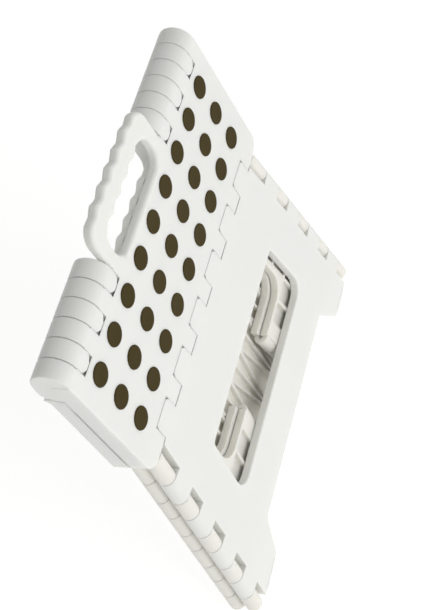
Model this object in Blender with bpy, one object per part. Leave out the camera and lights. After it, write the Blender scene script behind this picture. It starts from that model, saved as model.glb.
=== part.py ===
"""Folding step stool, modelled fully folded and standing on its feet.

Two half tops meet in a centre hinge and carry a pair of legs. At each end two half panels fold
inwards between the legs. All hinges are knuckles moulded in the panels, joined by steel pins.
X runs along the hinges, Y through the folded thickness and Z up; the outer face of the front leg
looks towards -Y. The origin is on the floor under the middle. Everything is in metres.
"""
import math

import bmesh
import bpy
from mathutils import Vector

# Overall sizes
TOP_LENGTH = 0.290           # half top, along the hinges
HALF_DEPTH = 0.014           # thickness of one half when folded
HINGE_SPAN = 0.110           # centre hinge to leg hinge, and corner hinge to mid hinge
LEG_HEIGHT = 0.210           # leg hinge above the floor
LEG_SPLAY = math.radians(7.7)
CORNER_SETBACK = 0.0159      # corner hinge inside the end of the top, at the leg hinge

# Walls and clearances
SKIN = 0.003
RIB = 0.0022
MID_GAP = 0.0002             # from the small barrels to the middle plane
FACE_GAP = 0.0004            # from the flat backs to the middle plane
LAYER_GAP = 0.0004           # between a leg and the end panels behind it
SEAM = 0.0005                # between neighbouring knuckles
TURN_GAP = 0.0004            # around a knuckle that turns in its recess

# Barrels and pins
SMALL_BARREL = 0.0069        # leg and corner hinges
MID_BARREL = 0.0060          # hinges in the middle of the end panels
HOOK_REACH = 0.010           # how far a centre knuckle laps over the other half
SLOT_REACH = 0.0093          # leg plate cut back from the corner hinge
PIN_RADIUS = 0.0016
PIN_GAP = 0.0003
PIN_END = 0.0035             # closed wall at the blind end of a pin hole
BARREL_STEPS = 8             # facets in a half turn

# Centre hinge and handle
HANDLE_HALF = 0.0555
CENTRE_FINGERS = 6
HANDLE_REACH = 0.0342        # beyond the centre hinge
HANDLE_DEPTH = 0.008
HANDLE_CORNER = 0.014
HANDLE_BAR = 0.0167
GRIP_HALF = 0.0432           # half the width of the grip opening
GRIP_SILL = 0.0095           # lower edge of the opening, below the centre hinge
GRIP_CORNER = 0.011
WAVE_HEIGHT = 0.0014
WAVE_COUNT = 5
WAVE_PITCH = 0.0155
SILL_WAVES = 4               # scallops behind the lower edge of the opening
SILL_WAVE = 0.0027
NOTCH_GAP = 0.001
RELIEF = 0.0045              # corner reliefs at the tips of the knuckles

# Half tops
TOP_CORNER = 0.013
END_WALL_RISE = 0.0060       # how much the end walls taper away near the leg hinge
TOP_BAND = 0.019             # solid band beside the centre hinge
LOW_BAND = 0.012             # solid band beside the leg hinge
DOT_RADIUS = 0.0081
DOT_GAP = 0.0002
DOT_COLUMNS = 9
DOT_ROWS = 3
DOT_END_MARGIN = 0.025
DOT_LOW_MARGIN = 0.0285
DOT_HIGH_MARGIN = 0.0245
DOT_PROUD = 0.0008
DOT_STEPS = 16
MAT_SHEET = 0.0015
MAT_STRIP = 0.010
MAT_LINK = 0.008

# Leg hinge fingers
LEG_FINGERS = 6
LEG_FINGER_WIDTH = 0.024
LEG_FINGER_INSET = 0.0136    # outermost finger inside the corner hinge

# Legs
PAD_PROUD = 0.001
FOOT_WIDTH = 0.045
ARCH_HEIGHT = 0.031
ARCH_SLANT = 0.017
ARCH_CORNER = 0.008
WINDOW_STILE = 0.0515        # from the corner hinge to the window
WINDOW_SILL = 0.077
WINDOW_DROP = 0.071          # window head below the leg hinge
WINDOW_TOP_CORNER = 0.004
WINDOW_LOW_CORNER = 0.012
PAD_LENGTH = 0.024
PAD_WIDTH = 0.0046
PAD_HEIGHT = 0.003

# End panels
PANEL_KNUCKLE = 0.0195
TOP_KNUCKLE = 0.026
KNUCKLE_COUNT = 5
KNUCKLE_LOW = 0.003
KNUCKLE_TOP_GAP = 0.0011     # below the half top's end finger
PANEL_SKIN = 0.003
PANEL_FOOT_RISE = 0.010
PANEL_FOOT_WIDTH = 0.045
PANEL_ARCH = 0.050
PANEL_ARCH_SLANT = 0.016
PANEL_START = 0.0076         # panel edge inside the corner hinge, beside a leg knuckle
PANEL_SILL_FRONT = 0.096     # lower edge of the front panels' cut-outs
PANEL_SILL_REAR = 0.100
PANEL_STILE = 0.0595         # from the corner hinge to the cut-out
PANEL_WINDOW_CORNER = 0.015

# Derived places
LEG_AXIS_Z = LEG_HEIGHT
CENTRE_Z = LEG_HEIGHT + HINGE_SPAN
INSET = SMALL_BARREL + MID_GAP
LEG_BACK = HALF_DEPTH - SMALL_BARREL + LAYER_GAP / 4
PANEL_FRONT = INSET - LAYER_GAP
CORNER_X = TOP_LENGTH / 2 - CORNER_SETBACK
HOOK_RADIUS = math.hypot(HALF_DEPTH, HOOK_REACH)
FINGER_PITCH = (TOP_LENGTH / 2 - HANDLE_HALF) / CENTRE_FINGERS
SPLAY_COS = math.cos(LEG_SPLAY)
SPLAY_SIN = math.sin(LEG_SPLAY)
SPLAY_TAN = math.tan(LEG_SPLAY)
FOOT_X = CORNER_X + LEG_HEIGHT * SPLAY_TAN
TURN_SQUARE = SMALL_BARREL * math.sqrt(2) + TURN_GAP
KNUCKLE_HIGH = (LEG_AXIS_Z - SMALL_BARREL - KNUCKLE_TOP_GAP) / SPLAY_COS
WINDOW_TOP = LEG_HEIGHT - WINDOW_DROP
MID_TOP = (LEG_AXIS_Z - INSET - HALF_DEPTH - 0.0025) / SPLAY_COS
STEP_START = HINGE_SPAN - HOOK_RADIUS - 0.006
PIN_HOLE = PIN_RADIUS + PIN_GAP
BEYOND = 0.02


WELD = 0.00001


# ------------------------------------------------------------------ meshes

def in_xz(a, b, c):
    """An outline drawn in X and Z, with its depth along Y."""
    return Vector((a, c, b))


def in_yz(a, b, c):
    """An outline drawn in Y and Z, with its length along X."""
    return Vector((c, a, b))


def corner_frame(side):
    """Places (inward, up along the corner hinge, depth) at one end of the stool."""
    def place(q, t, y):
        x = FOOT_X - t * SPLAY_SIN - q * SPLAY_COS
        z = t * SPLAY_COS - q * SPLAY_SIN
        return Vector((side * x, y, z))
    return place


def corner_x(z):
    """Distance of the corner hinge from the middle at height z."""
    return FOOT_X - z * SPLAY_TAN


def add_prism(bm, outline, place, low, high):
    """Extrude a closed outline between two depths into bm."""
    rings = [[bm.verts.new(place(a, b, c)) for a, b in outline] for c in (low, high)]
    count = len(outline)
    faces = [bm.faces.new(rings[0]), bm.faces.new(list(reversed(rings[1])))]
    for i in range(count):
        j = (i + 1) % count
        faces.append(bm.faces.new((rings[0][i], rings[1][i], rings[1][j], rings[0][j])))
    bmesh.ops.recalc_face_normals(bm, faces=faces)


def to_object(name, bm):
    mesh = bpy.data.meshes.new(name)
    bm.to_mesh(mesh)
    bm.free()
    obj = bpy.data.objects.new(name, mesh)
    bpy.context.scene.collection.objects.link(obj)
    return obj


def prisms(name, pieces, place):
    """One object of separate prisms: pieces lists (outline, low, high)."""
    bm = bmesh.new()
    for outline, low, high in pieces:
        add_prism(bm, outline, place, low, high)
    return to_object(name, bm)


def combine(target, tool, operation):
    """Apply a boolean of target with tool, and delete the tool."""
    boolean = target.modifiers.new("join", "BOOLEAN")
    boolean.operation = operation
    boolean.solver = "EXACT"
    boolean.object = tool
    bpy.context.view_layer.update()
    graph = bpy.context.evaluated_depsgraph_get()
    mesh = bpy.data.meshes.new_from_object(target.evaluated_get(graph))
    target.modifiers.clear()
    old = target.data
    target.data = mesh
    bpy.data.meshes.remove(old)
    bpy.data.objects.remove(tool)
    tidy(mesh)


def tidy(mesh):
    """Weld the slivers a boolean leaves and merge flat faces."""
    bm = bmesh.new()
    bm.from_mesh(mesh)
    bmesh.ops.remove_doubles(bm, verts=bm.verts, dist=WELD)
    bmesh.ops.dissolve_degenerate(bm, edges=bm.edges, dist=WELD)
    bmesh.ops.dissolve_limit(bm, angle_limit=0.001, verts=bm.verts, edges=bm.edges)
    bm.to_mesh(mesh)
    bm.free()


def unite(target, pieces, place):
    combine(target, prisms("tool", pieces, place), "UNION")


def cut(target, pieces, place):
    combine(target, prisms("tool", pieces, place), "DIFFERENCE")


# ---------------------------------------------------------------- outlines

def arc(cx, cy, radius, start, end, steps):
    """Points along an arc, angles in degrees, both ends included."""
    points = []
    for i in range(steps + 1):
        angle = math.radians(start + (end - start) * i / steps)
        points.append((cx + radius * math.cos(angle), cy + radius * math.sin(angle)))
    return points


def circle(cx, cy, radius, steps):
    return arc(cx, cy, radius, 0, 360 - 360 / steps, steps - 1)


def box(a0, a1, b0, b1):
    return [(a0, b0), (a1, b0), (a1, b1), (a0, b1)]


def rounded(points, radii, steps=4):
    """A polygon with each corner replaced by an arc of the given radius."""
    result = []
    count = len(points)
    for i in range(count):
        here = Vector(points[i])
        back = (Vector(points[i - 1]) - here).normalized()
        ahead = (Vector(points[(i + 1) % count]) - here).normalized()
        if radii[i] <= 0:
            result.append(tuple(here))
            continue
        half = back.angle(ahead) / 2
        middle = here + (back + ahead).normalized() * (radii[i] / math.sin(half))
        start = here + back * (radii[i] / math.tan(half)) - middle
        end = here + ahead * (radii[i] / math.tan(half)) - middle
        sweep = start.angle_signed(end)
        for k in range(steps + 1):
            angle = -sweep * k / steps
            turned = Vector((start.x * math.cos(angle) - start.y * math.sin(angle),
                             start.x * math.sin(angle) + start.y * math.cos(angle)))
            result.append(tuple(middle + turned))
    return result


def wave(half, level, sign):
    """A run of finger scallops from +half to -half along X about the given level."""
    count = WAVE_COUNT * 4
    points = []
    for i in range(count + 1):
        x = half - 2 * half * i / count
        z = level + sign * WAVE_HEIGHT * math.cos(2 * math.pi * x / WAVE_PITCH)
        points.append((x, z))
    return points


def mirrored(outline):
    return [(-a, b) for a, b in outline]


def window_outline():
    """The window through the legs and the end panels, in X and Z."""
    low = corner_x(WINDOW_SILL) - WINDOW_STILE
    high = corner_x(WINDOW_TOP) - WINDOW_STILE
    corners = [(-low, WINDOW_SILL), (low, WINDOW_SILL), (high, WINDOW_TOP), (-high, WINDOW_TOP)]
    radii = [WINDOW_LOW_CORNER, WINDOW_LOW_CORNER, WINDOW_TOP_CORNER, WINDOW_TOP_CORNER]
    return rounded(corners, radii)


def triangles(x0, x1, z0, z1, cells):
    """Pockets between zigzag ribs over a rectangle."""
    pitch = (x1 - x0) / cells
    slope = math.hypot(pitch, z1 - z0) / (z1 - z0)
    offset = RIB / 2 * slope
    outlines = []
    for i in range(cells):
        left = x0 + i * pitch
        right = left + pitch
        middle = (left + right) / 2
        up = [(left + 2 * offset, z0), (right - 2 * offset, z0), (middle, z1 - 4 * offset)]
        outlines.append(up)
        outlines.append([(left + offset, z0 + 4 * offset), (middle - 2 * offset, z1), (left + offset, z1)])
        outlines.append([(middle + 2 * offset, z1), (right - offset, z0 + 4 * offset), (right - offset, z1)])
    return outlines


# ----------------------------------------------------------- hinge pieces

def centre_fingers(first):
    """X ranges of every second knuckle of the centre hinge, on the +X side."""
    spans = []
    for i in range(first, CENTRE_FINGERS, 2):
        start = HANDLE_HALF + i * FINGER_PITCH
        spans.append((start + SEAM / 2, start + FINGER_PITCH - SEAM / 2))
    return spans


def both_sides(spans):
    return spans + [(-b, -a) for a, b in spans]


def leg_fingers():
    """X ranges of the legs' fingers in the leg hinge."""
    outer = CORNER_X - LEG_FINGER_INSET
    pitch = (2 * outer - LEG_FINGER_WIDTH) / (LEG_FINGERS - 1)
    starts = [-outer + i * pitch for i in range(LEG_FINGERS)]
    return [(s, s + LEG_FINGER_WIDTH) for s in starts]


def top_fingers():
    """X ranges of the half tops' fingers in the leg hinge, in the gaps between the legs'."""
    edges = leg_fingers()
    spans = [(a[1] + SEAM, b[0] - SEAM) for a, b in zip(edges, edges[1:])]
    spans.append((edges[-1][1] + SEAM, TOP_LENGTH / 2))
    spans.insert(0, (-TOP_LENGTH / 2, edges[0][0] - SEAM))
    return spans


def panel_knuckles():
    """Ranges of the end panels' knuckles along the corner hinge, bottom to top."""
    pitch = (KNUCKLE_HIGH - TOP_KNUCKLE - KNUCKLE_LOW) / (KNUCKLE_COUNT - 1)
    spans = []
    for i in range(KNUCKLE_COUNT - 1):
        start = KNUCKLE_LOW + i * pitch
        spans.append((start, start + PANEL_KNUCKLE))
    spans.append((KNUCKLE_HIGH - TOP_KNUCKLE, KNUCKLE_HIGH))
    return spans


def leg_knuckles():
    """Ranges of the legs' knuckles along the corner hinge."""
    spans = panel_knuckles()
    return [(a[1] + SEAM, b[0] - SEAM) for a, b in zip(spans, spans[1:])]


def centre_section():
    """Section of a centre knuckle: a barrel above, a flat-sided hook below."""
    dip = math.degrees(math.atan2(-HOOK_REACH, HALF_DEPTH))
    top = arc(0, CENTRE_Z, HALF_DEPTH, 0, 180, BARREL_STEPS + 2)
    low = arc(0, CENTRE_Z, HOOK_RADIUS, 180 - dip, 360 + dip, BARREL_STEPS)
    return top + low


def leg_finger_section(sy):
    """Section of a leg's finger at the leg hinge, square towards the outer face."""
    axis = INSET
    run = arc(-axis, LEG_AXIS_Z, SMALL_BARREL, 90, -90, BARREL_STEPS)
    start = [(-HALF_DEPTH, LEG_AXIS_Z - TOP_BAND), (-HALF_DEPTH, LEG_AXIS_Z + SMALL_BARREL)]
    end = [(-LEG_BACK, LEG_AXIS_Z - SMALL_BARREL - 0.0001), (-LEG_BACK, LEG_AXIS_Z - TOP_BAND)]
    return [(sy * -y, z) for y, z in start + run + end]


def top_finger_section(sy):
    """Section of a half top's finger at the leg hinge, square towards the outer face."""
    run = arc(-INSET, LEG_AXIS_Z, SMALL_BARREL, -90, 0, BARREL_STEPS // 2)
    high = LEG_AXIS_Z + LOW_BAND - 0.001
    start = [(-HALF_DEPTH, high), (-HALF_DEPTH, LEG_AXIS_Z - SMALL_BARREL)]
    end = [(-FACE_GAP - 0.0001, LEG_AXIS_Z + 0.001), (-FACE_GAP - 0.0001, high)]
    return [(sy * -y, z) for y, z in start + run + end]


def spread(sy, low, high):
    """Order two depths, measured from the middle plane, on the front or rear side."""
    return (-high, -low) if sy > 0 else (low, high)


# -------------------------------------------------------------- half tops

def dot_places(notched):
    """Centres of the anti-slip dots in X and Z; the rear half leaves room for its notch."""
    step_x = (TOP_LENGTH - 2 * DOT_END_MARGIN) / (DOT_COLUMNS - 1)
    step_z = (HINGE_SPAN - DOT_LOW_MARGIN - DOT_HIGH_MARGIN) / (DOT_ROWS - 1)
    floor = CENTRE_Z - HANDLE_REACH - NOTCH_GAP - WAVE_HEIGHT - SKIN
    places = []
    for row in range(DOT_ROWS):
        z = LEG_AXIS_Z + DOT_LOW_MARGIN + row * step_z
        for column in range(DOT_COLUMNS):
            x = step_x * (column - (DOT_COLUMNS - 1) / 2)
            beside = abs(x) > HANDLE_HALF + DOT_RADIUS + SKIN
            if not notched or beside or z + DOT_RADIUS < floor:
                places.append((x, z))
    return places


def row_heights():
    return sorted({z for _, z in dot_places(False)})


def top_outline():
    """The half top seen from the front, up to the centre hinge."""
    half = TOP_LENGTH / 2
    low = LEG_AXIS_Z - SMALL_BARREL
    corners = [(-half, low), (half, low), (half, CENTRE_Z), (-half, CENTRE_Z)]
    return rounded(corners, [TOP_CORNER, TOP_CORNER, 0, 0])


def top_pockets(notched):
    """Hollows behind the skin, between the long ribs."""
    half = TOP_LENGTH / 2 - SKIN
    rows = row_heights()
    edges = [LEG_AXIS_Z + LOW_BAND]
    edges += [(a + b) / 2 for a, b in zip(rows, rows[1:])]
    edges.append(CENTRE_Z - TOP_BAND)
    outlines = []
    for i in range(len(edges) - 1):
        low = edges[i] + (RIB / 2 if i else 0)
        last = i == len(edges) - 2
        high = edges[i + 1] - (0 if last else RIB / 2)
        if last and notched:
            wall = HANDLE_HALF + SKIN
            outlines += [box(wall, half, low, high), box(-half, -wall, low, high)]
            floor = CENTRE_Z - HANDLE_REACH - NOTCH_GAP - WAVE_HEIGHT - SKIN
            if floor - low > 2 * RIB:
                outlines.append(box(-wall + RIB, wall - RIB, low, floor))
        else:
            outlines.append(box(-half, half, low, high))
    return outlines


def link_gates():
    """Openings in the long ribs where the mat's links pass."""
    rows = row_heights()
    step = (TOP_LENGTH - 2 * DOT_END_MARGIN) / (DOT_COLUMNS - 1)
    reach = MAT_LINK / 2 + 0.0004
    gates = []
    for low, high in zip(rows, rows[1:]):
        for x in (-3.5 * step, 3.5 * step):
            middle = (low + high) / 2
            gates.append(box(x - reach, x + reach, middle - RIB, middle + RIB))
    return gates


def handle_outline():
    """The handle plate: straight sides, round shoulders and a scalloped outer edge."""
    top = CENTRE_Z + HANDLE_REACH
    side = HANDLE_HALF - SEAM
    flat = side - HANDLE_CORNER
    low = CENTRE_Z - GRIP_SILL - 2 * SKIN
    right = arc(flat, top - HANDLE_CORNER, HANDLE_CORNER, 0, 72, 5)
    left = mirrored(list(reversed(right)))
    scallops = [p for p in wave(flat - 0.003, top, 1)]
    return [(-side, low), (side, low)] + right + scallops + left


def grip_outline():
    """The opening for the hand, scalloped along the grip."""
    top = CENTRE_Z + HANDLE_REACH - HANDLE_BAR
    low = CENTRE_Z - GRIP_SILL
    flat = GRIP_HALF - GRIP_CORNER
    right = arc(flat, low + GRIP_CORNER, GRIP_CORNER, -90, 0, 5)
    right += arc(flat, top - GRIP_CORNER, GRIP_CORNER, 0, 72, 4)
    left = mirrored(list(reversed(right)))
    return right + wave(flat - 0.002, top, 1) + left


def under_handle(side, low):
    """The hollow behind the handle plate, with finger scallops along its floor."""
    count = 24
    reach = GRIP_HALF - GRIP_CORNER
    run = []
    for i in range(count + 1):
        x = -reach + 2 * reach * i / count
        swell = 0.5 - 0.5 * math.cos(2 * math.pi * (x + reach) / (2 * reach) * SILL_WAVES)
        run.append((x, low + SILL_WAVE * swell))
    high = CENTRE_Z + BEYOND
    return [(-side, low)] + run + [(side, low), (side, high), (-side, high)]


def notch_outline():
    """Room for the handle in the rear half when the stool is open."""
    low = CENTRE_Z - HANDLE_REACH - NOTCH_GAP
    side = HANDLE_HALF - SEAM / 2
    flat = side - HANDLE_CORNER
    right = arc(flat, low + HANDLE_CORNER, HANDLE_CORNER, -72, 0, 5)
    left = mirrored(list(reversed(right)))
    high = CENTRE_Z + BEYOND
    scallops = [p for p in reversed(wave(flat - 0.003, low, -1))]
    return scallops + right + [(side, high), (-side, high)] + left


def end_wall_taper(sy):
    """Wedge removed from the end walls, deepest at the leg hinge."""
    low = LEG_AXIS_Z - SMALL_BARREL - 0.001
    high = CENTRE_Z - 1.4 * TOP_BAND
    run = [(0.001, high), (0.001, low), (-FACE_GAP - END_WALL_RISE, low)]
    run.append((-FACE_GAP - END_WALL_RISE, LEG_AXIS_Z + LOW_BAND))
    return [(sy * -y, z) for y, z in run]


def build_top(name, sy, own, other):
    """One half top. sy is -1 for the front half, whose outer face looks to -Y."""
    handle = sy < 0
    back = spread(-sy, FACE_GAP, HALF_DEPTH)
    obj = prisms(name, [(top_outline(), *back)], in_xz)
    pockets = spread(-sy, -BEYOND, HALF_DEPTH - SKIN)
    cut(obj, [(o, *pockets) for o in top_pockets(not handle)], in_xz)
    gate = spread(-sy, HALF_DEPTH - SKIN - MAT_SHEET - 0.001, HALF_DEPTH - SKIN)
    cut(obj, [(o, *gate) for o in link_gates()], in_xz)
    holes = spread(-sy, HALF_DEPTH - 1.5 * SKIN, HALF_DEPTH + BEYOND)
    dots = dot_places(not handle)
    cut(obj, [(circle(x, z, DOT_RADIUS + DOT_GAP, DOT_STEPS), *holes) for x, z in dots], in_xz)

    turn = circle(0, CENTRE_Z, HOOK_RADIUS + TURN_GAP, 2 * BARREL_STEPS + 8)
    spans = [(a - SEAM / 2, b + SEAM / 2) for a, b in both_sides(other)]
    spans = [(a - (BEYOND if a < -TOP_LENGTH / 2 + SEAM else 0),
              b + (BEYOND if b > TOP_LENGTH / 2 - SEAM else 0)) for a, b in spans]
    cut(obj, [(turn, a, b) for a, b in spans], in_yz)
    if handle:
        under = HANDLE_HALF - SEAM / 2
        sill = CENTRE_Z - GRIP_SILL - SKIN
        hollow = spread(1, -BEYOND, HALF_DEPTH - HANDLE_DEPTH)
        cut(obj, [(under_handle(under, sill), *hollow)], in_xz)
        plate = spread(1, HALF_DEPTH - HANDLE_DEPTH, HALF_DEPTH)
        unite(obj, [(handle_outline(), *plate)], in_xz)
        cut(obj, [(grip_outline(), -HALF_DEPTH - BEYOND, BEYOND)], in_xz)
    else:
        cut(obj, [(notch_outline(), -BEYOND, HALF_DEPTH + BEYOND)], in_xz)
    unite(obj, [(centre_section(), a, b) for a, b in both_sides(own)], in_yz)
    relieve_hooks(obj, own, -sy)

    square = circle(sy * INSET, LEG_AXIS_Z, TURN_SQUARE, 2 * BARREL_STEPS + 4)
    room = SEAM * 0.8
    cut(obj, [(square, a - room, b + room) for a, b in leg_fingers()], in_yz)
    cut(obj, [(under_finger(sy), -TOP_LENGTH, TOP_LENGTH)], in_yz)
    unite(obj, [(top_finger_section(sy), a, b) for a, b in top_fingers()[1:-1]], in_yz)
    cut(obj, [(end_wall_taper(-sy), s * (TOP_LENGTH / 2 - SKIN) - 0.008, s * (TOP_LENGTH / 2 - SKIN) + 0.008)
              for s in (-1, 1)], in_yz)
    drill_top(obj, sy)
    return obj


def under_finger(sy):
    """Clears the inner lower corner of the half top, round the leg hinge's barrel."""
    run = arc(-INSET, LEG_AXIS_Z, SMALL_BARREL - 0.0004, -90, 0, BARREL_STEPS // 2)
    run[0] = (-INSET, LEG_AXIS_Z - SMALL_BARREL - 0.0005)
    low = LEG_AXIS_Z - SMALL_BARREL - 0.001
    corner = [(BEYOND, LEG_AXIS_Z), (BEYOND, low), (-INSET, low)]
    return [(sy * -y, z) for y, z in run + corner]


def relieve_hooks(obj, own, lap):
    """Small corner reliefs at the tips of the hooks that lap over the other half."""
    tip = CENTRE_Z - HOOK_REACH
    low, high = spread(-lap, HALF_DEPTH - SKIN, HALF_DEPTH + BEYOND)
    pieces = []
    for a, b in both_sides(own):
        for edge, way in ((a, 1), (b, -1)):
            if abs(edge) > TOP_LENGTH / 2 - SEAM:
                continue
            out = edge - way * SEAM
            inner = edge + way * RELIEF
            outline = [(out, tip - HOOK_REACH), (inner, tip - HOOK_REACH), (inner, tip)]
            outline += [(edge + way * RELIEF * 0.35, tip + RELIEF * 0.45), (edge, tip + RELIEF), (out, tip + RELIEF)]
            pieces.append((outline, low, high))
    cut(obj, pieces, in_xz)


def drill_top(obj, sy):
    """Pin holes of the centre hinge and of the leg hinge."""
    end = TOP_LENGTH / 2 - PIN_END
    centre = circle(0, CENTRE_Z, PIN_HOLE, BARREL_STEPS)
    leg = circle(sy * INSET, LEG_AXIS_Z, PIN_HOLE, BARREL_STEPS)
    inner = HANDLE_HALF - 0.002
    cut(obj, [(centre, inner, end), (centre, -end, -inner)], in_yz)
    cut(obj, [(leg, -end, TOP_LENGTH / 2 + BEYOND)], in_yz)


def build_mat(name, sy, notched):
    """Rubber strips behind the skin, with the dots that stand through it."""
    front = HALF_DEPTH - SKIN - 0.0003
    sheet = spread(-sy, front - MAT_SHEET, front)
    dots = spread(-sy, front - MAT_SHEET / 2, HALF_DEPTH + DOT_PROUD)
    places = dot_places(notched)
    rows = sorted({z for _, z in places})
    end = TOP_LENGTH / 2 - SKIN - 0.001
    step = (TOP_LENGTH - 2 * DOT_END_MARGIN) / (DOT_COLUMNS - 1)
    pieces = []
    for z in rows:
        xs = [x for x, level in places if level == z]
        low, high = z - MAT_STRIP / 2, z + MAT_STRIP / 2
        if len(xs) == DOT_COLUMNS:
            pieces.append((box(-end, end, low, high), *sheet))
            continue
        inner = min(x for x in xs if x > 0) - DOT_RADIUS - 0.002
        pieces += [(box(inner, end, low, high), *sheet), (box(-end, -inner, low, high), *sheet)]
    obj = prisms(name, pieces, in_xz)
    links = []
    for low, high in zip(rows, rows[1:]):
        for x in (-3.5 * step, 3.5 * step):
            links.append((box(x - MAT_LINK / 2, x + MAT_LINK / 2, low, high), *sheet))
    unite(obj, [(o, a, b) for o, a, b in links], in_xz)
    unite(obj, [(circle(x, z, DOT_RADIUS, DOT_STEPS), *dots) for x, z in places], in_xz)
    return obj


# ------------------------------------------------------------------- legs

def leg_outline():
    """The leg plate, from the corner hinges in: two feet, an arch between them."""
    low = PAD_PROUD
    high = LEG_AXIS_Z + SMALL_BARREL
    foot = corner_x(low)
    inner = foot - FOOT_WIDTH
    right = [(foot, low), (corner_x(high), high)]
    arch = [(inner - ARCH_SLANT, ARCH_HEIGHT), (inner, low)]
    points = right + mirrored(list(reversed(right)))
    points += mirrored(list(reversed(arch))) + arch
    radii = [0.002, 0, 0, 0.002, 0.003, ARCH_CORNER, ARCH_CORNER, 0.003]
    return rounded(points, radii)


def leg_pockets(windowed):
    """Hollows behind the leg plate, between zigzag ribs."""
    edge = SLOT_REACH + SKIN
    low_half = corner_x(ARCH_HEIGHT) - FOOT_WIDTH - 0.008
    if windowed:
        outlines = triangles(-low_half, low_half, ARCH_HEIGHT + SKIN, WINDOW_SILL - SKIN, 6)
    else:
        rail = (WINDOW_SILL + WINDOW_TOP) / 2
        inner = corner_x(WINDOW_TOP) - WINDOW_STILE
        outlines = triangles(-inner, inner, ARCH_HEIGHT + SKIN, rail - RIB / 2, 6)
        outlines += triangles(-inner, inner, rail + RIB / 2, WINDOW_TOP, 6)
    top = LEG_AXIS_Z - TURN_SQUARE - 2 * SKIN
    high_half = corner_x(top) - edge
    outlines += triangles(-high_half, high_half, WINDOW_TOP + SKIN, top, 6)
    lattice = low_half + SKIN
    low, high = WINDOW_SILL - SKIN, WINDOW_TOP
    for side in (1, -1):
        stile = [(max(lattice, corner_x(low) - WINDOW_STILE + SKIN), low)]
        stile += [(corner_x(low) - edge, low), (corner_x(high) - edge, high)]
        stile.append((corner_x(high) - WINDOW_STILE + SKIN, high))
        foot = [(lattice, ARCH_HEIGHT), (corner_x(ARCH_HEIGHT) - edge, ARCH_HEIGHT)]
        foot += [(corner_x(low) - edge, low - SKIN), (lattice, low - SKIN)]
        for outline in (stile, foot):
            outlines.append([(side * x, z) for x, z in outline])
    return outlines


def pad_span(side):
    """X range of a rubber foot pad."""
    foot = corner_x(PAD_PROUD)
    middle = foot - (FOOT_WIDTH + SLOT_REACH) / 2
    ends = sorted((side * (middle - PAD_LENGTH / 2), side * (middle + PAD_LENGTH / 2)))
    return ends[0], ends[1]


def build_leg(name, sy):
    """One leg: plate, leg hinge fingers and corner hinge knuckles; a window in the front one."""
    depth = spread(-sy, LEG_BACK, HALF_DEPTH)
    obj = prisms(name, [(leg_outline(), *depth)], in_xz)
    hollow = spread(-sy, LEG_BACK - BEYOND, HALF_DEPTH - SKIN)
    windowed = sy < 0
    cut(obj, [(o, *hollow) for o in leg_pockets(windowed)], in_xz)
    if windowed:
        cut(obj, [(window_outline(), -BEYOND, BEYOND)], in_xz)
    square = circle(sy * INSET, LEG_AXIS_Z, TURN_SQUARE, 2 * BARREL_STEPS + 4)
    shelf = box(*sorted((sy * 0.0, sy * BEYOND)), LEG_AXIS_Z, LEG_AXIS_Z + BEYOND)
    reach = 2 * TOP_LENGTH
    gaps = []
    for a, b in top_fingers():
        low = -reach if a < -TOP_LENGTH / 2 + SEAM else a - SEAM / 2
        high = reach if b > TOP_LENGTH / 2 - SEAM else b + SEAM / 2
        gaps.append((low, high))
    cut(obj, [(square, a, b) for a, b in gaps], in_yz)
    cut(obj, [(shelf, a, b) for a, b in gaps], in_yz)
    section = leg_finger_section(sy)
    unite(obj, [(section, a, b) for a, b in leg_fingers()], in_yz)
    relieve_leg_fingers(obj, sy)
    for side in (1, -1):
        corner_barrels(obj, side, sy)
    hole = circle(sy * INSET, LEG_AXIS_Z, PIN_HOLE, BARREL_STEPS)
    cut(obj, [(hole, -TOP_LENGTH, TOP_LENGTH)], in_yz)
    y0, y1 = sorted((sy * (HALF_DEPTH - 0.0012), sy * (HALF_DEPTH - 0.0012 - PAD_WIDTH)))
    gap = 0.0003
    sockets = [(box(pad_span(s)[0] - gap, pad_span(s)[1] + gap, -BEYOND, PAD_HEIGHT + gap), y0 - gap, y1 + gap)
               for s in (1, -1)]
    cut(obj, sockets, in_xz)
    return obj


def relieve_leg_fingers(obj, sy):
    """Corner reliefs at the tips of the leg's fingers."""
    tip = LEG_AXIS_Z + SMALL_BARREL
    low, high = spread(-sy, HALF_DEPTH - SKIN, HALF_DEPTH + BEYOND)
    reach = RELIEF * 0.75
    pieces = []
    for a, b in leg_fingers():
        for edge, way in ((a, 1), (b, -1)):
            out = edge - way * SEAM
            outline = [(out, tip + SEAM), (edge + way * reach * 0.7, tip + SEAM), (edge, tip - reach), (out, tip - reach)]
            pieces.append((outline, low, high))
    cut(obj, pieces, in_xz)


def corner_barrels(obj, side, sy):
    """Recesses for the end panel's knuckles, and the leg's own barrels, at one end."""
    place = corner_frame(side)
    slots = []
    for low, high in panel_knuckles():
        top = high + (BEYOND if high > KNUCKLE_HIGH - SEAM else SEAM * 0.8)
        bottom = low - (BEYOND if low < KNUCKLE_LOW + SEAM else SEAM * 0.8)
        slots.append((box(-BEYOND, SLOT_REACH, bottom, top), -BEYOND, BEYOND))
    cut(obj, slots, place)
    centre = sy * INSET

    def barrel(q, y, t):
        return place(q, t, y)
    round_section = circle(0, centre, SMALL_BARREL, 2 * BARREL_STEPS)
    unite(obj, [(round_section, low, high) for low, high in leg_knuckles()], barrel)
    hole = circle(0, centre, PIN_HOLE, BARREL_STEPS)
    cut(obj, [(hole, low - SEAM, high + SEAM) for low, high in leg_knuckles()], barrel)


# ------------------------------------------------------------- end panels

def mid_arms():
    """The stretches of the mid hinge above and below the window, in hinge coordinates."""
    drop = HINGE_SPAN * SPLAY_SIN
    low = (PANEL_ARCH, (PANEL_SILL_FRONT + drop) / SPLAY_COS - 0.0022)
    high = ((WINDOW_TOP + drop) / SPLAY_COS + 0.0022, MID_TOP)
    return [low, high]


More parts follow.
